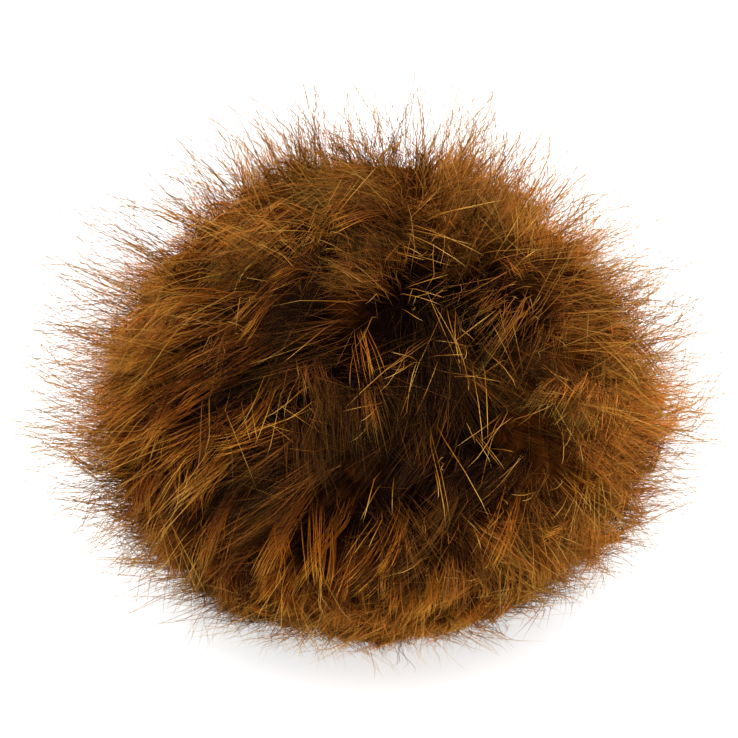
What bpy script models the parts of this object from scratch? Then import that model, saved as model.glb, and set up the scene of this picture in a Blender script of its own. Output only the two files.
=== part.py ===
# A fur pom pom: a disc of long-haired fur drawn up into a ball, standing on a small flat spot.
# The ball is one closed solid, a lumpy backing with tapered locks of hair that grow out of it.
# Units are metres and +Z is up. The origin is on the floor under the middle of the ball,
# and the side that faces -Y is its front.

import math
import random
from collections import namedtuple

import bmesh
import bpy
from mathutils import Vector, noise

MM = 0.001
DOWN = Vector((0.0, 0.0, -1.0))

# Rings of the ball in millimetres. The angle is taken from straight down at the ball's middle, so
# that 0 is its underside, 90 its widest ring and 180 its top. The backing is the surface that the
# locks grow from, and the tip surface is where the longest of them end.
Ring = namedtuple("Ring", "angle backing_radius backing_height tip_radius tip_height")
RINGS = (
    Ring(0, 0.0, 0.0, 0.0, 0.0),
    Ring(24, 14.0, 0.0, 22.0, 0.2),
    Ring(33, 20.0, 0.0, 31.5, 2.0),
    Ring(46, 27.5, 6.5, 44.0, 8.5),
    Ring(60, 35.0, 16.0, 56.0, 17.5),
    Ring(75, 40.5, 26.5, 65.5, 28.5),
    Ring(90, 42.5, 38.5, 70.0, 40.0),
    Ring(110, 39.5, 52.0, 66.0, 58.0),
    Ring(130, 31.5, 64.0, 52.5, 77.5),
    Ring(155, 17.0, 73.0, 28.0, 97.0),
    Ring(180, 0.0, 76.0, 0.0, 103.5),
)

FLAT_SPOT_ANGLE = 34.0          # degrees from straight down, inside which the ball is flat and bare
LUMP_DEPTH = 1.6 * MM           # how far the backing swells and sinks
LUMP_DENSITY = 1.9              # lumps across the ball's radius
LUMP_FREE_HEIGHT = 8.0 * MM     # the backing is even at the floor and fully lumpy from here up

# Where the fur parts, seen from the ball's middle, and how far the tips lean away from there
CROWN = Vector((0.12, -0.33, 0.94)).normalized()
LEAN = 0.17
STRAIGHT_SHARE = 0.55           # share of a lock's length that stands straight out before it droops

# Sections along a lock, from its root to its tip: how far out, and how wide in its place
Section = namedtuple("Section", "reach width")
LOCK = (
    Section(0.00, 0.88),
    Section(0.22, 0.84),
    Section(0.48, 0.62),
    Section(0.74, 0.35),
    Section(1.00, 0.06),
)
SHORTEST_LOCK = 0.74            # of the full length
TUFTS = 60                      # groups that the locks lean together in
TUFT_PULL = 0.60                # how far the tips lean towards the middle of their tuft
PLACE_JITTER = 0.075            # how unevenly the locks are spread, in radians
EVEN_ANGLE = 48.0               # degrees from straight down, inside which they are spread evenly
SEED = 12

FUR_COLOUR = (0.30, 0.125, 0.030, 1.0)
FUR_ROUGHNESS = 0.6


def clear_scene():
    for old in list(bpy.data.objects):
        bpy.data.objects.remove(old)


def smooth_value(angle, column):
    # A smooth curve through one column of the rings
    last = len(RINGS) - 1
    index = min(last - 1, max(0, sum(angle >= ring.angle for ring in RINGS) - 1))

    def value(i):
        return getattr(RINGS[i], column)

    def slope(i):
        before, after = max(0, i - 1), min(last, i + 1)
        return (value(after) - value(before)) / (RINGS[after].angle - RINGS[before].angle)

    span = RINGS[index + 1].angle - RINGS[index].angle
    along = (angle - RINGS[index].angle) / span
    back = 1.0 - along
    blend = along * along * (3.0 - 2.0 * along)
    bend = slope(index) * along * back * back - slope(index + 1) * along * along * back
    return value(index) + (value(index + 1) - value(index)) * blend + span * bend


def surface_point(direction, surface):
    # The point that a direction from the ball's middle meets on the "backing" or the "tip" surface
    angle = math.degrees(direction.angle(DOWN))
    around = math.atan2(direction.y, direction.x)
    radius = smooth_value(angle, surface + "_radius") * MM
    height = smooth_value(angle, surface + "_height") * MM
    return Vector((radius * math.cos(around), radius * math.sin(around), max(0.0, height)))


def backing_point(direction):
    point = surface_point(direction, "backing")
    lump = noise.noise(direction * LUMP_DENSITY) * LUMP_DEPTH
    return point + direction * lump * min(1.0, point.z / LUMP_FREE_HEIGHT)


def fur_point(direction, reach):
    # A lock stands straight out of the backing, then its tip droops away from the crown
    root = backing_point(direction)
    straight = root.lerp(surface_point(direction, "tip"), STRAIGHT_SHARE)
    tip = surface_point(direction - CROWN * LEAN, "tip")
    return root * (1.0 - reach) ** 2 + straight * 2.0 * reach * (1.0 - reach) + tip * reach ** 2


def degrees_from_down(vert):
    return math.degrees(vert.co.angle(DOWN))


def spread_places(bm, dice):
    # Each face of the unit ball is the place of one lock
    for vert in bm.verts:
        if degrees_from_down(vert) > EVEN_ANGLE:
            shift = Vector([dice.uniform(-1.0, 1.0) for _ in range(3)]) * PLACE_JITTER
            vert.co = (vert.co + shift).normalized()


def grow_lock(bm, face, tuft_middle, length):
    # Each section is drawn out of the one before it, and stays inside the lock's own place
    corners = [vert.co.copy() for vert in face.verts]
    middle = sum(corners, Vector()) / len(corners)
    nearest = min(corners, key=lambda corner: (corner - tuft_middle).length)
    for section in LOCK:
        focus = middle.lerp(nearest, TUFT_PULL * section.reach * (1.0 - section.width))
        face = bmesh.ops.extrude_discrete_faces(bm, faces=[face])["faces"][0]
        for vert, corner in zip(face.verts, corners):
            vert.co = focus.lerp(corner, section.width).normalized() * (1.0 + section.reach * length)


def grow_fur(bm, dice):
    tuft_middles = [Vector(dice.gauss(0.0, 1.0) for _ in range(3)).normalized() for _ in range(TUFTS)]
    for face in list(bm.faces):
        if max(degrees_from_down(vert) for vert in face.verts) > FLAT_SPOT_ANGLE:
            place = face.calc_center_median()
            tuft_middle = min(tuft_middles, key=lambda spot: (spot - place).length)
            grow_lock(bm, face, tuft_middle, dice.uniform(SHORTEST_LOCK, 1.0))


def make_fur_ball():
    # The locks grow straight on a ball of radius 1, whose points are then brought to their real places
    dice = random.Random(SEED)
    bm = bmesh.new()
    bmesh.ops.create_icosphere(bm, subdivisions=3, radius=1.0)
    spread_places(bm, dice)
    grow_fur(bm, dice)
    for vert in bm.verts:
        distance = vert.co.length
        vert.co = fur_point(vert.co / distance, distance - 1.0)
    centre_over_origin(bm)
    bmesh.ops.triangulate(bm, faces=bm.faces[:])
    bmesh.ops.recalc_face_normals(bm, faces=bm.faces[:])

    mesh = bpy.data.meshes.new("fur_ball")
    bm.to_mesh(mesh)
    bm.free()
    mesh.materials.append(fur_material())
    ball = bpy.data.objects.new("fur_ball", mesh)
    bpy.context.collection.objects.link(ball)


def centre_over_origin(bm):
    across = [vert.co.x for vert in bm.verts]
    along = [vert.co.y for vert in bm.verts]
    middle = Vector((max(across) + min(across), max(along) + min(along), 0.0)) / 2.0
    bmesh.ops.translate(bm, vec=-middle, verts=bm.verts[:])


def fur_material():
    material = bpy.data.materials.new("dyed fur")
    material.use_nodes = True
    shader = material.node_tree.nodes["Principled BSDF"]
    shader.inputs["Base Color"].default_value = FUR_COLOUR
    shader.inputs["Roughness"].default_value = FUR_ROUGHNESS
    shader.inputs["Metallic"].default_value = 0.0
    return material


clear_scene()
make_fur_ball()
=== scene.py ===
import math

import bmesh
import bpy
import numpy as np
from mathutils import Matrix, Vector, kdtree


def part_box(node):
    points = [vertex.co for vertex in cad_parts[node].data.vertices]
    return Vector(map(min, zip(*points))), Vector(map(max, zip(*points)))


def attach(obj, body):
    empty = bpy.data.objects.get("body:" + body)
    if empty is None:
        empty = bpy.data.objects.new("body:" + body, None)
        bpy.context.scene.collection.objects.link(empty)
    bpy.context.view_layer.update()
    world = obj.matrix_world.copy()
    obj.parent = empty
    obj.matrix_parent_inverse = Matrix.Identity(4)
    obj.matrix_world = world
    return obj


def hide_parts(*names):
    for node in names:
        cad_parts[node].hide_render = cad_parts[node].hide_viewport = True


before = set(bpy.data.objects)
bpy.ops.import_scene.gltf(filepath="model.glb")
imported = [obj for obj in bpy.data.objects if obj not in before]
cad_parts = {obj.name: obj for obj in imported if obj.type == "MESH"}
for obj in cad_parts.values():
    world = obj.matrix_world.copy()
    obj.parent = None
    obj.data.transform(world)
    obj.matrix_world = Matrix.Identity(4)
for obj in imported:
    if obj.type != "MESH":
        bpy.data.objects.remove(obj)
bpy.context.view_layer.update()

mm = 0.001
solidLow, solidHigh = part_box("fur_ball")
halfAcross = (solidHigh.x - solidLow.x) / 2.0
fullHeight = solidHigh.z
uvName = "OFBake"

# The ball's own form, as shares of its half width and of its height.
# Angles are in degrees from straight down at the middle of the ball.
ballForm = {
    "angle": (0, 24, 33, 46, 60, 75, 90, 110, 130, 155, 180),
    "skinAcross": (0.0, 0.12, 0.20, 0.33, 0.485, 0.58, 0.605, 0.565, 0.455, 0.245, 0.0),
    "skinUp": (0.0, 0.0, 0.005, 0.065, 0.16, 0.265, 0.385, 0.525, 0.655, 0.755, 0.785),
    "tipAcross": (0.0, 0.25, 0.37, 0.57, 0.78, 0.935, 1.01, 0.96, 0.76, 0.405, 0.0),
    "tipUp": (0.0, 0.002, 0.02, 0.085, 0.175, 0.285, 0.40, 0.585, 0.79, 0.99, 1.06),
    "floorGap": 0.35 * mm,  # the lowest that a bent hair may come
    "floorScatter": 4.0,  # how many such gaps higher others may stop
    "waveRoom": 4.0 * mm,  # above this a hair may wave freely
    "roomAcross": 1.075,  # as far as any hair may reach
    "roomUp": 1.10,
    "crown": (0.44, -0.20, 0.875),  # where the fur parts
    "combedSide": (0.0, -0.88, 0.47),  # where it lies down, and round which it stands out
}


def unit(vectors):
    return vectors / np.linalg.norm(vectors, axis=-1, keepdims=True)


crown = unit(np.array(ballForm["crown"]))
combedSide = unit(np.array(ballForm["combedSide"]))


def smoothColumn(angles, column):
    # A smooth curve through one row of the ball's form
    xs = np.array(ballForm["angle"], float)
    ys = np.array(ballForm[column], float)
    slopes = np.gradient(ys, xs)
    i = np.clip(np.searchsorted(xs, angles, side="right") - 1, 0, len(xs) - 2)
    span = xs[i + 1] - xs[i]
    t = (angles - xs[i]) / span
    back = 1.0 - t
    blend = t * t * (3.0 - 2.0 * t)
    return ys[i] + (ys[i + 1] - ys[i]) * blend + span * t * back * (slopes[i] * back - slopes[i + 1] * t)


def angleFromBelow(directions):
    return np.degrees(np.arccos(np.clip(-directions[:, 2], -1.0, 1.0)))


def onBall(directions, share):
    # Points at a share of the way from the skin, 0, to where the longest hairs end, 1
    angles = angleFromBelow(directions)
    around = np.arctan2(directions[:, 1], directions[:, 0])
    across = smoothColumn(angles, "skinAcross") * (1 - share) + smoothColumn(angles, "tipAcross") * share
    up = smoothColumn(angles, "skinUp") * (1 - share) + smoothColumn(angles, "tipUp") * share
    return np.stack([
        across * halfAcross * np.cos(around),
        across * halfAcross * np.sin(around),
        up * fullHeight,
    ], axis=1)


def spreadDirections(count, rng, lowest):
    # Even places all over the ball, a little shaken, without the underside
    shake = 1.2 / math.sqrt(count)
    i = np.arange(count) + 0.5
    z = lowest + (1.0 - lowest) * i / count
    around = i * math.pi * (3.0 - math.sqrt(5.0))  # a golden angle further each time
    flat = np.sqrt(1.0 - z * z)
    places = np.stack([flat * np.cos(around), flat * np.sin(around), z], axis=1)
    return unit(places + rng.normal(0.0, shake, places.shape))


def nearestOf(points, centres):
    # The nearest centre to each point, and how far it is
    tree = kdtree.KDTree(len(centres))
    for i, centre in enumerate(centres):
        tree.insert(centre, i)
    tree.balance()
    found = [tree.find(point) for point in points]
    return np.array([hit[1] for hit in found]), np.array([hit[2] for hit in found])


def keepInRoom(points, rng):
    # No hair goes into the floor, or further out than the ball may reach
    low = ballForm["floorGap"] * (1.0 + ballForm["floorScatter"] * rng.random(len(points)))
    across = np.hypot(points[:, 0], points[:, 1])
    widest = ballForm["roomAcross"] * halfAcross
    points[:, :2] *= np.minimum(1.0, widest / np.maximum(across, mm))[:, None]
    points[:, 2] = np.clip(points[:, 2], low, ballForm["roomUp"] * fullHeight)
    return points


# How the fur lies and how its colour changes over the ball, with painted light and shade among that colour.
# Each patch has its middle, its size in radians, and what it adds there.
furLie = {
    "lean": 0.42,  # away from the crown, on the combed side
    "leanFade": 1.3,  # how fast that side ends
    "hangFrom": -0.75,  # how low the fur still hangs down, and how gently that begins
    "hangOver": 0.6,
    "sweeps": (
        ((-0.40, -0.84, 0.36), 0.50, (0.07, -0.10, -0.24)),
        ((-0.05, -0.82, 0.57), 0.26, (-0.18, 0.00, -0.06)),
        ((-1.00, 0.00, 0.08), 0.50, (0.00, 0.04, 0.20)),
        ((1.00, 0.00, 0.00), 0.45, (0.00, 0.04, 0.10)),
        ((0.72, 0.45, 0.30), 0.60, (0.05, 0.16, -0.10)),
        ((-0.60, 0.75, 0.10), 0.60, (-0.18, 0.05, -0.06)),
        ((0.10, 0.90, 0.40), 0.50, (0.15, 0.05, -0.06)),
    ),
    "shades": (  # the front, with painted shade in its middle and patches of painted light and shade round it
        ((0.16, -0.75, 0.64), 0.34, -0.40),
        ((-0.42, -0.78, 0.46), 0.45, -0.26),
        ((-0.15, -0.55, 0.82), 0.21, 0.30),
        ((0.04, -0.42, 0.91), 0.17, -0.16),
        ((-0.14, -0.74, 0.66), 0.16, -0.15),
        ((-0.32, -0.28, 0.89), 0.26, -0.13),
        ((-0.62, -0.48, 0.60), 0.30, -0.20),
        ((-0.56, -0.75, 0.32), 0.30, -0.22),
        ((-0.12, -0.90, 0.42), 0.23, 0.34),
        ((0.15, -0.97, 0.18), 0.30, -0.22),
        ((0.40, -0.86, 0.30), 0.22, -0.12),
        ((0.50, -0.44, 0.73), 0.20, -0.24),
        ((0.57, -0.71, 0.40), 0.20, 0.18),
        # low at the front, then the back: painted light along its upper rims, painted shade low down
        ((-0.72, -0.65, -0.15), 0.30, -0.12),
        ((0.62, -0.78, -0.10), 0.35, 0.13),
        ((-0.62, 0.52, 0.58), 0.38, 0.40),
        ((0.68, 0.48, 0.54), 0.38, 0.36),
        ((0.60, 0.78, -0.10), 0.40, -0.20),
        ((-0.68, 0.72, -0.10), 0.40, -0.18),
        ((0.00, 0.72, 0.69), 0.50, 0.46),
        # the top, both sides, and under the front: painted light as a glow on both sides and as light from
        # the floor under the front
        ((-0.20, 0.10, 0.97), 0.36, -0.12),
        ((0.97, -0.15, 0.10), 0.55, 0.48),
        ((-0.97, -0.12, 0.20), 0.52, 0.47),
        ((0.00, -0.75, -0.66), 0.45, 0.44),
    ),
    "guardShades": (
        ((0.20, -0.85, 0.48), 0.60, 0.12),
        ((0.35, -0.90, -0.25), 0.40, 0.32),
        ((-0.40, -0.90, 0.00), 0.60, -0.24),
        ((-0.50, -0.75, 0.42), 0.30, -0.16),
        ((-0.40, -0.75, -0.50), 0.40, -0.20),
    ),
    # painted light: the stray hairs are lighter low down, as if lit from the floor
    "strayShades": (
        ((0.00, -0.70, -0.70), 0.60, 0.40),
    ),
    "lengths": (
        ((0.15, -0.88, -0.45), 0.50, -0.24),
        ((0.84, -0.28, -0.46), 0.35, -0.12),
        ((-0.90, -0.20, -0.38), 0.35, -0.14),
        ((0.00, 0.85, -0.40), 0.80, 0.12),
        ((-0.93, 0.14, 0.30), 0.50, -0.30),
        ((0.05, 0.40, 0.92), 0.35, 0.12),
        ((-0.44, 0.42, 0.79), 0.45, -0.36),
        ((0.50, 0.38, 0.78), 0.40, -0.24),
        ((0.94, 0.10, 0.30), 0.42, -0.28),
    ),
    "strayLengths": (
        ((0.45, -0.80, -0.40), 0.70, -0.24),
        ((-0.90, 0.18, 0.38), 0.45, 0.46),
        ((-0.60, -0.37, -0.70), 0.45, -0.25),
        ((0.80, -0.30, -0.52), 0.45, -0.25),
    ),
    "lockGrowth": (
        ((-0.58, -0.76, 0.26), 0.55, 0.75),
        ((-0.38, -0.52, 0.76), 0.35, 0.60),
        ((-0.12, -0.90, 0.38), 0.25, 0.50),
        ((0.10, -0.90, -0.40), 0.50, 0.75),
        ((0.15, -0.78, 0.60), 0.30, -0.80),
        ((0.60, -0.76, -0.10), 0.35, 0.55),
        ((0.80, 0.40, -0.10), 0.60, 0.40),
        ((-0.30, 0.90, -0.10), 0.60, 0.50),
    ),
    "sprigGrowth": (
        ((0.15, -0.80, 0.58), 0.45, 0.26),
        ((0.62, -0.76, 0.15), 0.50, 0.42),
        ((-0.25, -0.40, 0.85), 0.40, 0.30),
        ((-0.60, 0.70, 0.30), 0.50, 0.30),
    ),
    "strayGrowth": (
        ((0.10, -0.88, 0.45), 0.90, -1.05),
    ),
}


def addPatches(places, patches):
    # What the patches add at each place: a number, or a direction for a sweep
    total = 0.0
    for middle, size, amount in patches:
        apart = np.arccos(np.clip(places @ unit(np.array(middle)), -1.0, 1.0))
        weight = np.exp(-(apart / size) ** 2)
        total = total + (weight[:, None] * np.array(amount) if np.ndim(amount) else weight * amount)
    return total


def sweepAt(places):
    # Near the floor the fur no longer hangs down
    hang = np.clip((places[:, 2] - furLie["hangFrom"]) / furLie["hangOver"], 0.0, 1.0)[:, None]
    combed = np.clip(places @ combedSide, 0.0, 1.0)[:, None] ** furLie["leanFade"]
    return (addPatches(places, furLie["sweeps"]) - crown * furLie["lean"] * combed) * hang


growthRules = {
    "shortest": 0.12,
    "tailBack": 0.7,  # the share of a tail's mean that all hairs give back
    "sweepAtBend": 0.25,
    "pullAtBend": 0.5,
    "shades": (0.01, 0.99),
    "thicknesses": (0.75, 1.25),
}


def growFur(layer):
    # Tufts first, then the clumps in each tuft, then the hairs in each clump
    rng = np.random.default_rng(layer["seed"])
    fur = None
    for level in layer["levels"]:
        count = level["count"]
        if fur and "spread" in level:
            which = np.arange(count) % len(fur["place"])
            rng.shuffle(which)
            places = unit(fur["place"][which] + rng.normal(0.0, level["spread"], (count, 3)))
        else:
            places = spreadDirections(count, rng, layer["lowest"])
            which = nearestOf(places, fur["place"])[0] if fur else None
        if fur:
            reach, stray, wave, shade = (fur[key][which] for key in ("reach", "stray", "wave", "shade"))
        else:
            reach = layer["reach"] * (1.0 + addPatches(places, furLie[layer["lengths"]]))
            stray = np.zeros((count, 3))
            wave = np.zeros(count)
            # The patches add the hair's tone, and for the fine fur and the wool painted light and shade as
            # well
            shade = layer["shade"] + addPatches(places, furLie[layer["patches"]])
        reach = reach + rng.normal(0.0, level["uneven"], count)
        if "tail" in level:  # a few hairs are much longer than the rest
            reach += rng.exponential(level["tail"], count) - level["tail"] * growthRules["tailBack"]
        reach = np.clip(reach, growthRules["shortest"], layer["longest"])
        stray = stray + rng.normal(0.0, level["stray"], (count, 3))
        wave = wave + rng.normal(0.0, level["wave"], count)
        shade = shade + rng.normal(0.0, level["shade"], count)
        sweep = sweepAt(places) * layer["swept"] + stray
        tips = onBall(unit(places + sweep), reach)
        bends = onBall(unit(places + sweep * growthRules["sweepAtBend"]), reach * layer["bendAt"])
        bends += rng.normal(0.0, level["curl"], (count, 3))
        if fur:
            pull = rng.uniform(*level["pull"], count)[:, None]
            tips += (fur["tip"][which] - tips) * pull
            bends += (fur["bend"][which] - bends) * pull * growthRules["pullAtBend"]
        fur = {"place": places, "reach": reach, "stray": stray, "wave": wave, "shade": shade,
               "bend": bends, "tip": tips}
        if "sparse" in level:
            kept = rng.random(count) < level["sparse"] + addPatches(places, furLie[layer["growth"]])
            fur = {key: values[kept] for key, values in fur.items()}
    fur["root"] = onBall(fur["place"], np.full(len(fur["place"]), layer["rootAt"]))
    for key in ("bend", "tip", "root"):
        fur[key] = keepInRoom(fur[key], rng)
    fur["wave"] *= np.clip(np.minimum(fur["bend"][:, 2], fur["tip"][:, 2]) / ballForm["waveRoom"], 0.0, 1.0)
    fur["shade"] = np.clip(fur["shade"], *growthRules["shades"])
    fur["thickness"] = layer["thickness"] * rng.uniform(*growthRules["thicknesses"], len(fur["place"]))
    return fur


evenEdges = ((1.0, 0.0), (-0.5, 0.87), (-0.5, -0.87))
strands = {  # where each hair's three edges stand, and its width at shares of its length
    "fine hair": {
        "edges": ((-1.0, 0.3), (0.0, -0.4), (1.0, 0.3)),
        "widths": ((0.0, 0.0), (0.50, 1.0), (1.0, 0.0)),
    },
    "guard hair": {
        "edges": evenEdges,
        "widths": ((0.0, 0.8), (0.45, 1.0), (0.70, 0.8), (0.88, 0.5), (1.0, 0.0)),
    },
    "stray hair": {
        "edges": evenEdges,
        "widths": ((0.0, 0.9), (0.5, 1.0), (0.8, 0.7), (1.0, 0.0)),
    },
}


def strandObject(name):
    # One straight hair, with a point for its tip and a point or a closed end for its root
    edges = strands[name]["edges"]
    bm = bmesh.new()
    along = bm.verts.layers.float.new("along")
    side = bm.verts.layers.float_vector.new("side")
    rows = []
    for share, width in strands[name]["widths"]:
        row = []
        for k in range(3 if width > 0.0 else 1):
            offset = Vector((*edges[k], 0.0)) * width
            vert = bm.verts.new((offset.x, offset.y, share))
            vert[along] = share
            vert[side] = offset
            row.append(vert)
        rows.append(row)
    for low, high in zip(rows, rows[1:]):
        for k in range(3):
            n = (k + 1) % 3
            ring = [low[k % len(low)], low[n % len(low)], high[n % len(high)], high[k % len(high)]]
            bm.faces.new(dict.fromkeys(ring))
    if len(rows[0]) == 3:
        bm.faces.new(reversed(rows[0]))
    bmesh.ops.recalc_face_normals(bm, faces=bm.faces[:])
    for face in bm.faces:
        face.smooth = True
    mesh = bpy.data.meshes.new(name)
    bm.to_mesh(mesh)
    bm.free()
    return bpy.data.objects.new(name, mesh)


def addSocket(tree, name, kind, default=None, output=False):
    socket = tree.interface.new_socket(
        name=name, in_out="OUTPUT" if output else "INPUT", socket_type="NodeSocket" + kind)
    if default is not None:
        socket.default_value = default
    return socket


# A Mix node's sockets by number, because their names repeat: first, second and result
mixSockets = {"VECTOR": (4, 5, 1), "RGBA": (6, 7, 2)}


def mixOf(tree, kind, factor, first, second):
    node = tree.nodes.new("ShaderNodeMix")
    node.data_type = kind
    firstAt, secondAt, resultAt = mixSockets[kind]
    tree.links.new(factor, node.inputs["Factor"])
    tree.links.new(first, node.inputs[firstAt])
    tree.links.new(second, node.inputs[secondAt])
    return node.outputs[resultAt]


hairShape = {
    "Thickness": 1.0,
    "Shade Width": 0.002,
    "waveTurns": 0.8,  # along a hair
    "slant": (0.31, 0.0, 0.95),  # a hair waves across this direction
}


def hairTree():
    # Puts a straight hair on every root, then bends it through its three points
    tree = bpy.data.node_groups.new("hairs on roots", "GeometryNodeTree")
    addSocket(tree, "Roots", "Geometry")
    addSocket(tree, "Hair", "Object")
    addSocket(tree, "Thickness", "Float", hairShape["Thickness"])
    addSocket(tree, "Shade Width", "Float", hairShape["Shade Width"])
    addSocket(tree, "Material", "Material")
    addSocket(tree, "Fur", "Geometry", output=True)
    nodes, links = tree.nodes, tree.links
    given = nodes.new("NodeGroupInput")
    result = nodes.new("NodeGroupOutput")

    def attribute(name, kind):
        node = nodes.new("GeometryNodeInputNamedAttribute")
        node.data_type = kind
        node.inputs["Name"].default_value = name
        return node.outputs["Attribute"]

    def vectorMath(operation, a, b=None, scale=None):
        node = nodes.new("ShaderNodeVectorMath")
        node.operation = operation
        links.new(a, node.inputs[0])
        if b is not None:
            links.new(b, node.inputs[1])
        if scale is not None:
            links.new(scale, node.inputs["Scale"])
        return node.outputs["Vector"]

    def scalarMath(operation, a, b):
        node = nodes.new("ShaderNodeMath")
        node.operation = operation
        for socket, value in zip(node.inputs, (a, b)):
            if isinstance(value, (int, float)):
                socket.default_value = value
            else:
                links.new(value, socket)
        return node.outputs["Value"]

    hair = nodes.new("GeometryNodeObjectInfo")
    links.new(given.outputs["Hair"], hair.inputs["Object"])
    placed = nodes.new("GeometryNodeInstanceOnPoints")
    links.new(given.outputs["Roots"], placed.inputs["Points"])
    links.new(hair.outputs["Geometry"], placed.inputs["Instance"])
    real = nodes.new("GeometryNodeRealizeInstances")
    links.new(placed.outputs["Instances"], real.inputs["Geometry"])

    root, bend, tip = (attribute(name, "FLOAT_VECTOR") for name in ("root", "bend", "tip"))
    along = attribute("along", "FLOAT")
    side = attribute("side", "FLOAT_VECTOR")
    lower = mixOf(tree, "VECTOR", along, root, bend)
    upper = mixOf(tree, "VECTOR", along, bend, tip)
    path = mixOf(tree, "VECTOR", along, lower, upper)

    # Two directions across the hair, for its thickness and its wave
    forward = vectorMath("NORMALIZE", vectorMath("SUBTRACT", tip, root))
    slant = nodes.new("ShaderNodeCombineXYZ")
    for axis, value in zip("XYZ", hairShape["slant"]):
        slant.inputs[axis].default_value = value
    across = vectorMath("NORMALIZE", vectorMath("CROSS_PRODUCT", forward, slant.outputs["Vector"]))
    over = vectorMath("CROSS_PRODUCT", across, forward)
    parts = nodes.new("ShaderNodeSeparateXYZ")
    links.new(side, parts.inputs["Vector"])
    wide = scalarMath("MULTIPLY", attribute("thickness", "FLOAT"), given.outputs["Thickness"])
    turned = scalarMath("MULTIPLY", along, hairShape["waveTurns"] * 2.0 * math.pi)
    sway = scalarMath("MULTIPLY", attribute("wave", "FLOAT"), scalarMath("SINE", turned, 0.0))
    offAcross = scalarMath("ADD", scalarMath("MULTIPLY", parts.outputs["X"], wide), sway)
    offOver = scalarMath("MULTIPLY", parts.outputs["Y"], wide)
    offset = vectorMath("ADD", vectorMath("SCALE", across, scale=offAcross),
                        vectorMath("SCALE", over, scale=offOver))
    place = vectorMath("ADD", path, offset)
    bent = nodes.new("GeometryNodeSetPosition")
    links.new(real.outputs["Geometry"], bent.inputs["Geometry"])
    links.new(place, bent.inputs["Position"])

    # The hair's own map: its shade across, and root to tip up
    sideShade = scalarMath("MULTIPLY", parts.outputs["X"], given.outputs["Shade Width"])
    shade = scalarMath("ADD", attribute("shade", "FLOAT"), sideShade)
    pair = nodes.new("ShaderNodeCombineXYZ")
    links.new(shade, pair.inputs["X"])
    links.new(along, pair.inputs["Y"])
    mapped = nodes.new("GeometryNodeStoreNamedAttribute")
    mapped.data_type = "FLOAT2"
    mapped.domain = "CORNER"
    mapped.inputs["Name"].default_value = uvName
    links.new(bent.outputs["Geometry"], mapped.inputs["Geometry"])
    links.new(pair.outputs["Vector"], mapped.inputs["Value"])

    dressed = nodes.new("GeometryNodeSetMaterial")
    links.new(mapped.outputs["Geometry"], dressed.inputs["Geometry"])
    links.new(given.outputs["Material"], dressed.inputs["Material"])
    links.new(dressed.outputs["Geometry"], result.inputs["Fur"])
    return tree


furTree = hairTree()
inputNames = {item.name: item.identifier for item in furTree.interface.items_tree if item.in_out == "INPUT"}


def dressBall(piece):
    # Every piece of the fur stays with the ball and stands in for its solid
    bpy.context.collection.objects.link(piece)
    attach(piece, "root")
    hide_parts("fur_ball")


def hairPiece(name, fur, strand, material):
    # A point for each root carries what its hair needs, and the tree does the rest
    count = len(fur["root"])
    mesh = bpy.data.meshes.new(name)
    mesh.vertices.add(count)
    mesh.vertices.foreach_set("co", fur["root"].astype(np.float32).ravel())
    for key in ("root", "bend", "tip"):
        layer = mesh.attributes.new(key, "FLOAT_VECTOR", "POINT")
        layer.data.foreach_set("vector", fur[key].astype(np.float32).ravel())
    for key in ("shade", "thickness", "wave"):
        layer = mesh.attributes.new(key, "FLOAT", "POINT")
        layer.data.foreach_set("value", fur[key].astype(np.float32))
    grown = bpy.data.objects.new(name + ".roots", mesh)
    bpy.context.collection.objects.link(grown)
    growth = grown.modifiers.new("hairs", "NODES")
    growth.node_group = furTree
    growth[inputNames["Hair"]] = strand
    for key in ("Thickness", "Shade Width"):
        growth[inputNames[key]] = hairShape[key]
    growth[inputNames["Material"]] = material
    evaluated = grown.evaluated_get(bpy.context.evaluated_depsgraph_get())
    plain = bpy.data.meshes.new_from_object(evaluated)
    bpy.data.objects.remove(grown)
    for key in ("root", "bend", "tip", "shade", "thickness", "wave", "along", "side"):
        if key in plain.attributes:
            plain.attributes.remove(plain.attributes[key])
    plain.name = name
    dressBall(bpy.data.objects.new(name, plain))
    print(name, count, "hairs", len(plain.polygons), "faces")


def splitFur(fur, parts):
    # Every n-th hair goes to the same part, so that each part covers the whole ball
    return [{key: values[i::parts] for key, values in fur.items()} for i in range(parts)]


def colourRamp(nodes, stops):
    ramp = nodes.new("ShaderNodeValToRGB")
    ramp.color_ramp.interpolation = "EASE"
    points = ramp.color_ramp.elements
    while len(points) < len(stops):
        points.new(0.5)
    for point, (place, colour) in zip(points, stops):
        point.position = place
        point.color = (*colour, 1.0)
    return ramp


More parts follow.
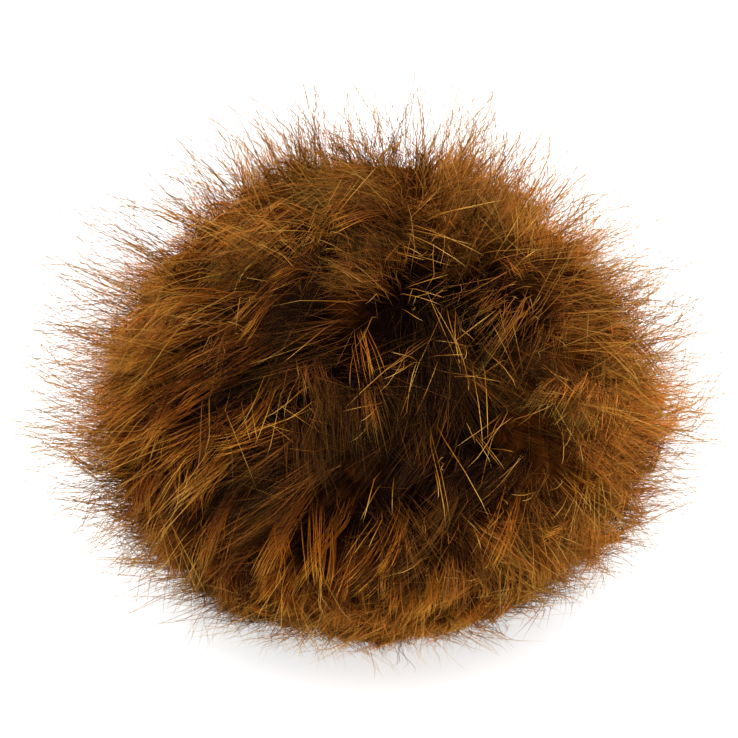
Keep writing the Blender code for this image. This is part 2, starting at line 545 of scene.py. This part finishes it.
def hairColourGroup():
    # A dark and a light hair, each from root to tip, and a blend of the two by the hair's shade, which also
    # carries painted light and shade
    group = bpy.data.node_groups.new("hair colour", "ShaderNodeTree")
    for name in ("Dark Root", "Dark Middle", "Dark Tip", "Light Root", "Light Middle", "Light Tip"):
        addSocket(group, name, "Color")
    addSocket(group, "Middle At", "Float", 0.6)
    addSocket(group, "Color", "Color", output=True)
    nodes, links = group.nodes, group.links
    given = nodes.new("NodeGroupInput")
    result = nodes.new("NodeGroupOutput")
    uv = nodes.new("ShaderNodeUVMap")
    uv.uv_map = uvName
    parts = nodes.new("ShaderNodeSeparateXYZ")
    links.new(uv.outputs["UV"], parts.inputs["Vector"])

    def smooth(value, low, high):
        node = nodes.new("ShaderNodeMapRange")
        node.interpolation_type = "SMOOTHSTEP"
        links.new(value, node.inputs["Value"])
        for name, bound in (("From Min", low), ("From Max", high)):
            if isinstance(bound, float):
                node.inputs[name].default_value = bound
            else:
                links.new(bound, node.inputs[name])
        return node.outputs["Result"]

    toMiddle = smooth(parts.outputs["Y"], 0.15, given.outputs["Middle At"])
    toTip = smooth(parts.outputs["Y"], given.outputs["Middle At"], 1.0)
    hairs = []
    for kind in ("Dark", "Light"):
        lower = mixOf(group, "RGBA", toMiddle, given.outputs[kind + " Root"], given.outputs[kind + " Middle"])
        hairs.append(mixOf(group, "RGBA", toTip, lower, given.outputs[kind + " Tip"]))
    blended = mixOf(group, "RGBA", smooth(parts.outputs["X"], 0.0, 1.0), *hairs)
    links.new(blended, result.inputs["Color"])
    return group


hairColour = hairColourGroup()


def hairMaterial(name, look):
    material = bpy.data.materials.new(name)
    material.use_nodes = True
    nodes, links = material.node_tree.nodes, material.node_tree.links
    shader = nodes["Principled BSDF"]
    colour = nodes.new("ShaderNodeGroup")
    colour.node_tree = hairColour
    for key, value in look["colours"].items():
        colour.inputs[key].default_value = (*value, 1.0)
    colour.inputs["Middle At"].default_value = look["middleAt"]
    links.new(colour.outputs["Color"], shader.inputs["Base Color"])
    shader.inputs["Roughness"].default_value = look["roughness"]
    shader.inputs["Specular IOR Level"].default_value = look["specular"]
    return material


underfurLook = {
    "colours": {
        "Dark Root": (0.004, 0.0022, 0.0013),
        "Dark Middle": (0.014, 0.0062, 0.0036),
        "Dark Tip": (0.042, 0.0155, 0.0065),
        "Light Root": (0.30, 0.085, 0.0140),
        "Light Middle": (0.92, 0.300, 0.046),
        "Light Tip": (1.00, 0.64, 0.110),
    },
    "middleAt": 0.66,
    "roughness": 0.85,
    "specular": 0.0,
}
fineFur = {
    "seed": 11,
    "lowest": -0.86,  # how far down it grows, from 1 at the top to -1 underneath
    "rootAt": 0.24,  # roots and ends, from the skin, 0, to where the longest hairs end, 1
    "reach": 0.44,
    "lengths": "lengths",
    "longest": 1.30,
    "swept": 0.6,  # how much it follows the lie of the fur
    "bendAt": 0.78,  # as a share of its reach
    "shade": 0.30,  # from the dark hair, 0, to the light one, 1
    "patches": "shades",
    "thickness": 0.060 * mm,
    "pieces": 3,
    "levels": (  # tufts, clumps and hairs
        {"count": 240, "uneven": 0.07, "stray": 0.14, "wave": 0.0, "shade": 0.12, "curl": 0.0},
        {"count": 2200, "uneven": 0.06, "stray": 0.06, "wave": 0.0, "shade": 0.10, "curl": 0.4 * mm,
         "pull": (0.40, 0.65)},
        {"count": 98000, "uneven": 0.05, "tail": 0.25, "stray": 0.055, "wave": 0.0, "shade": 0.06,
         "curl": 0.5 * mm, "pull": (0.15, 0.75)},
    ),
}
coreForm = {
    "subdivisions": 6,
    "share": 0.27,  # how far out of the skin it stands
    "tuftRise": 0.13,
    "tuftReach": 0.06,
    "tuftSharpness": 1.3,
    "flatAngle": 33.0,  # where the flat underside ends, and how softly, in degrees
    "flatEase": 20.0,
    "lean": 0.12,  # away from the crown
    "gapLight": 0.35,  # painted shade: how light it stays between the tufts, beside the tufts themselves
}
coreLook = {
    "streaks": (420.0, 14.0, 1.0),
    "detail": 4.0,
    "colours": (
        (0.03, (0.003, 0.0011, 0.0006)),
        (0.16, (0.050, 0.0130, 0.0017)),
        (0.45, (0.30, 0.085, 0.009)),
    ),
    "roughness": 0.9,
    "bump": 0.6,
    "bumpDepth": 0.4 * mm,
}


def coreMaterial():
    # The dense wool under the hair, with painted shade between its tufts and the fur's painted light and
    # shade
    material = bpy.data.materials.new("deep fur")
    material.use_nodes = True
    nodes, links = material.node_tree.nodes, material.node_tree.links
    shader = nodes["Principled BSDF"]
    paintedShadeInput = nodes.new("ShaderNodeAttribute")
    paintedShadeInput.attribute_name = "tuft"
    comb = nodes.new("ShaderNodeUVMap")
    comb.uv_map = "comb"
    stretch = nodes.new("ShaderNodeMapping")
    stretch.inputs["Scale"].default_value = coreLook["streaks"]
    links.new(comb.outputs["UV"], stretch.inputs["Vector"])
    streak = nodes.new("ShaderNodeTexNoise")
    streak.inputs["Scale"].default_value = 1.0
    streak.inputs["Detail"].default_value = coreLook["detail"]
    links.new(stretch.outputs["Vector"], streak.inputs["Vector"])
    mixed = nodes.new("ShaderNodeMath")
    mixed.operation = "MULTIPLY"
    links.new(streak.outputs["Fac"], mixed.inputs[0])
    links.new(paintedShadeInput.outputs["Fac"], mixed.inputs[1])
    ramp = colourRamp(nodes, coreLook["colours"])
    links.new(mixed.outputs["Value"], ramp.inputs["Fac"])
    links.new(ramp.outputs["Color"], shader.inputs["Base Color"])
    shader.inputs["Roughness"].default_value = coreLook["roughness"]
    shader.inputs["Specular IOR Level"].default_value = 0.0
    bump = nodes.new("ShaderNodeBump")
    bump.inputs["Strength"].default_value = coreLook["bump"]
    bump.inputs["Distance"].default_value = coreLook["bumpDepth"]
    links.new(streak.outputs["Fac"], bump.inputs["Height"])
    links.new(bump.outputs["Normal"], shader.inputs["Normal"])
    return material


def makeCore():
    bm = bmesh.new()
    bmesh.ops.create_icosphere(bm, subdivisions=coreForm["subdivisions"], radius=1.0)
    directions = unit(np.array([vert.co[:] for vert in bm.verts]))

    # It rises where the clumps of the fine fur grow
    clumps = fineFur["levels"][1]["count"]
    tufts = spreadDirections(clumps, np.random.default_rng(fineFur["seed"]), fineFur["lowest"])
    _, distance = nearestOf(directions, tufts)
    rise = np.clip(1.0 - distance / coreForm["tuftReach"], 0.0, 1.0) ** coreForm["tuftSharpness"]
    pastFlat = (angleFromBelow(directions) - coreForm["flatAngle"]) / coreForm["flatEase"]
    share = (coreForm["share"] + coreForm["tuftRise"] * rise) * np.clip(pastFlat, 0.0, 1.0)
    points = onBall(unit(directions - crown * coreForm["lean"] * share[:, None]), share)
    points[:, 2] = np.maximum(points[:, 2], 0.0)
    for vert, point in zip(bm.verts, points):
        vert.co = point
    mesh = bpy.data.meshes.new("deep_fur")
    bm.to_mesh(mesh)
    bm.free()
    # Painted shade: the core is darker between its tufts, and takes the fine fur's tone with its painted
    # light and shade
    layer = mesh.attributes.new("tuft", "FLOAT", "POINT")
    light = np.clip(fineFur["shade"] + addPatches(directions, furLie["shades"]), 0.0, 1.0)
    light *= coreForm["gapLight"] + (1.0 - coreForm["gapLight"]) * rise
    layer.data.foreach_set("value", light.astype(np.float32))

    # The map runs around the crown and down from it, as the fur lies
    sideways = unit(np.cross(crown, (0.0, 1.0, 0.0)))
    onward = np.cross(crown, sideways)
    turns = np.arctan2(directions @ onward, directions @ sideways) / (2.0 * math.pi)
    fall = np.arccos(np.clip(directions @ crown, -1.0, 1.0)) / math.pi
    corners = np.zeros(len(mesh.loops), np.int32)
    mesh.loops.foreach_get("vertex_index", corners)
    turn = turns[corners].reshape(-1, 3)
    turn -= np.round(turn - turn[:, :1])
    uv = mesh.uv_layers.new(name="comb")
    uv.data.foreach_set("uv", np.stack([turn.ravel(), fall[corners]], axis=1).astype(np.float32).ravel())
    mesh.shade_smooth()
    mesh.materials.append(coreMaterial())
    dressBall(bpy.data.objects.new("deep_fur", mesh))
    print("deep_fur", len(mesh.polygons), "faces")


makeCore()

fineStrand = strandObject("fine hair")
underfurMaterial = hairMaterial("underfur", underfurLook)
for i, share in enumerate(splitFur(growFur(fineFur), fineFur["pieces"])):
    hairPiece(f"fine_fur_{i + 1}", share, fineStrand, underfurMaterial)

woolFur = {
    "seed": 11,
    "lowest": -0.86,
    "rootAt": 0.24,
    "reach": 0.47,
    "lengths": "lengths",
    "longest": 1.25,
    "swept": 0.12,
    "bendAt": 0.75,
    "shade": 0.37,
    "patches": "shades",
    "thickness": 0.056 * mm,
    "levels": (
        {"count": 240, "uneven": 0.06, "stray": 0.14, "wave": 0.0, "shade": 0.11, "curl": 0.0},
        {"count": 2200, "uneven": 0.05, "stray": 0.06, "wave": 0.3 * mm, "shade": 0.08, "curl": 0.3 * mm,
         "pull": (0.40, 0.65)},
        {"count": 20000, "uneven": 0.05, "tail": 0.28, "stray": 0.10, "wave": 0.5 * mm, "shade": 0.08,
         "curl": 1.0 * mm, "pull": (0.0, 0.50)},
    ),
}
hairPiece("wool_fur", growFur(woolFur), fineStrand, underfurMaterial)

guardLook = {
    "colours": {
        "Dark Root": (0.004, 0.0012, 0.0003),
        "Dark Middle": (0.080, 0.018, 0.0030),
        "Dark Tip": (0.46, 0.125, 0.011),
        "Light Root": (0.006, 0.002, 0.0005),
        "Light Middle": (0.46, 0.132, 0.010),
        "Light Tip": (1.00, 0.50, 0.065),
    },
    "middleAt": 0.72,
    "roughness": 0.5,
    "specular": 0.03,
}
guardLocks = {
    "seed": 23,
    "lowest": -0.86,
    "rootAt": 0.22,
    "reach": 0.68,
    "lengths": "lengths",
    "longest": 0.95,
    "swept": 0.85,
    "bendAt": 0.94,
    "shade": 0.40,
    "patches": "guardShades",
    "growth": "lockGrowth",
    "thickness": 0.088 * mm,
    "levels": (
        {"count": 240, "uneven": 0.04, "stray": 0.08, "wave": 0.9 * mm, "shade": 0.06, "curl": 0.0},
        {"count": 1350, "uneven": 0.06, "stray": 0.10, "wave": 0.7 * mm, "shade": 0.18, "curl": 1.0 * mm,
         "pull": (0.1, 0.4), "sparse": 0.10},
        {"count": 6200, "spread": 0.025, "uneven": 0.06, "stray": 0.05, "wave": 0.4 * mm, "shade": 0.16,
         "curl": 0.8 * mm, "pull": (0.50, 0.96)},
    ),
}
guardStrand = strandObject("guard hair")
hairPiece("guard_locks", growFur(guardLocks), guardStrand, hairMaterial("guard hair", guardLook))

sprigLook = {
    "colours": {
        "Dark Root": (0.004, 0.0012, 0.0003),
        "Dark Middle": (0.10, 0.030, 0.003),
        "Dark Tip": (0.60, 0.21, 0.022),
        "Light Root": (0.006, 0.002, 0.0005),
        "Light Middle": (0.40, 0.15, 0.012),
        "Light Tip": (1.00, 0.60, 0.12),
    },
    "middleAt": 0.55,
    "roughness": 0.45,
    "specular": 0.03,
}
guardSprigs = {
    "seed": 29,
    "lowest": -0.70,
    "rootAt": 0.40,
    "reach": 0.66,
    "lengths": "lengths",
    "longest": 0.80,
    "swept": 0.3,
    "bendAt": 0.80,
    "shade": 0.60,
    "patches": "guardShades",
    "growth": "sprigGrowth",
    "thickness": 0.078 * mm,
    "levels": (
        {"count": 1500, "uneven": 0.05, "stray": 0.15, "wave": 0.5 * mm, "shade": 0.10, "curl": 0.6 * mm,
         "sparse": 0.06},
        {"count": 680, "spread": 0.016, "uneven": 0.06, "stray": 0.06, "wave": 0.6 * mm, "shade": 0.14,
         "curl": 0.8 * mm, "pull": (0.0, 0.3)},
    ),
}
hairPiece("guard_sprigs", growFur(guardSprigs), guardStrand, hairMaterial("guard sprigs", sprigLook))

strayLook = {
    "colours": {
        "Dark Root": (0.004, 0.0012, 0.0003),
        "Dark Middle": (0.20, 0.075, 0.010),
        "Dark Tip": (0.34, 0.190, 0.050),
        "Light Root": (0.006, 0.002, 0.0005),
        "Light Middle": (0.52, 0.220, 0.030),
        "Light Tip": (0.62, 0.38, 0.08),
    },
    "middleAt": 0.50,
    "roughness": 0.6,
    "specular": 0.0,
}
strayHair = {
    "seed": 37,
    "lowest": -0.80,
    "rootAt": 0.25,
    "reach": 1.20,
    "lengths": "strayLengths",
    "longest": 1.55,
    "swept": 0.6,
    "bendAt": 0.60,
    "shade": 0.40,
    "patches": "strayShades",
    "growth": "strayGrowth",
    "thickness": 0.058 * mm,
    "levels": (
        {"count": 1500, "uneven": 0.20, "stray": 0.12, "wave": 1.6 * mm, "shade": 0.15, "curl": 2.2 * mm,
         "sparse": 0.9},
        {"count": 4800, "spread": 0.03, "uneven": 0.14, "stray": 0.08, "wave": 1.0 * mm, "shade": 0.15,
         "curl": 1.5 * mm, "pull": (0.2, 0.8)},
    ),
}
hairPiece("stray_hair", growFur(strayHair), strandObject("stray hair"), hairMaterial("stray hair", strayLook))

# Floor, light and camera
studio = {
    "floorSize": 40.0,
    "floorColour": (0.70, 0.70, 0.70, 1.0),
    "floorGlow": 0.92,
    "roomLight": 1.0,
    "suns": {  # where each stands, how wide it looks, in degrees, and its strength
        "key": ((-0.15, -0.50, 0.90), 50.0, 2.5),
        "back": ((0.20, 0.80, 0.90), 90.0, 2.4),
    },
}


def makeFloor():
    # The floor glows for the camera alone, so the ball's shadow on it stays faint
    bpy.ops.mesh.primitive_plane_add(size=studio["floorSize"], location=(0.0, 0.0, 0.0))
    floor = bpy.context.object
    floor.name = "floor"
    material = bpy.data.materials.new("pale floor")
    material.use_nodes = True
    shader = material.node_tree.nodes["Principled BSDF"]
    shader.inputs["Base Color"].default_value = studio["floorColour"]
    shader.inputs["Roughness"].default_value = 0.9
    shader.inputs["Specular IOR Level"].default_value = 0.1
    shader.inputs["Emission Color"].default_value = studio["floorColour"]
    links = material.node_tree.links
    path = material.node_tree.nodes.new("ShaderNodeLightPath")
    glow = material.node_tree.nodes.new("ShaderNodeMapRange")
    glow.inputs["To Max"].default_value = studio["floorGlow"]
    links.new(path.outputs["Is Camera Ray"], glow.inputs["Value"])
    links.new(glow.outputs["Result"], shader.inputs["Emission Strength"])
    floor.data.materials.append(material)


def makeSun(name, place, angle, strength):
    light = bpy.data.lights.new(name, "SUN")
    light.angle = math.radians(angle)
    light.energy = strength
    lamp = bpy.data.objects.new(name, light)
    lamp.location = place
    lamp.rotation_euler = (-Vector(place)).to_track_quat("-Z", "Y").to_euler()
    bpy.context.collection.objects.link(lamp)


def makeWorld():
    # A white room, which lights the ball from all round
    world = bpy.data.worlds.new("white room")
    world.use_nodes = True
    background = world.node_tree.nodes["Background"]
    background.inputs["Color"].default_value = (1.0, 1.0, 1.0, 1.0)
    background.inputs["Strength"].default_value = studio["roomLight"]
    bpy.context.scene.world = world


view = {
    "elevation": 28.0,
    "lens": 200.0,
    "frameWidth": 144.6 * mm,
    "aim": (-1.2 * mm, 0.0, 50.2 * mm),
}


def makeCamera():
    # Looks down at the ball from in front, with the ball as large in the frame as in the photograph
    lens = bpy.data.cameras.new("camera")
    lens.lens = view["lens"]
    camera = bpy.data.objects.new("camera", lens)
    tilt = math.radians(view["elevation"])
    back = Vector((0.0, -math.cos(tilt), math.sin(tilt)))
    camera.location = Vector(view["aim"]) + back * view["frameWidth"] * view["lens"] / lens.sensor_width
    camera.rotation_euler = (-back).to_track_quat("-Z", "Y").to_euler()
    lens.clip_start = 0.01
    bpy.context.collection.objects.link(camera)
    bpy.context.scene.camera = camera


makeFloor()
for name, sun in studio["suns"].items():
    makeSun(name, *sun)
makeWorld()
makeCamera()
bpy.context.scene.view_settings.view_transform = "Standard"
print("studio ready")
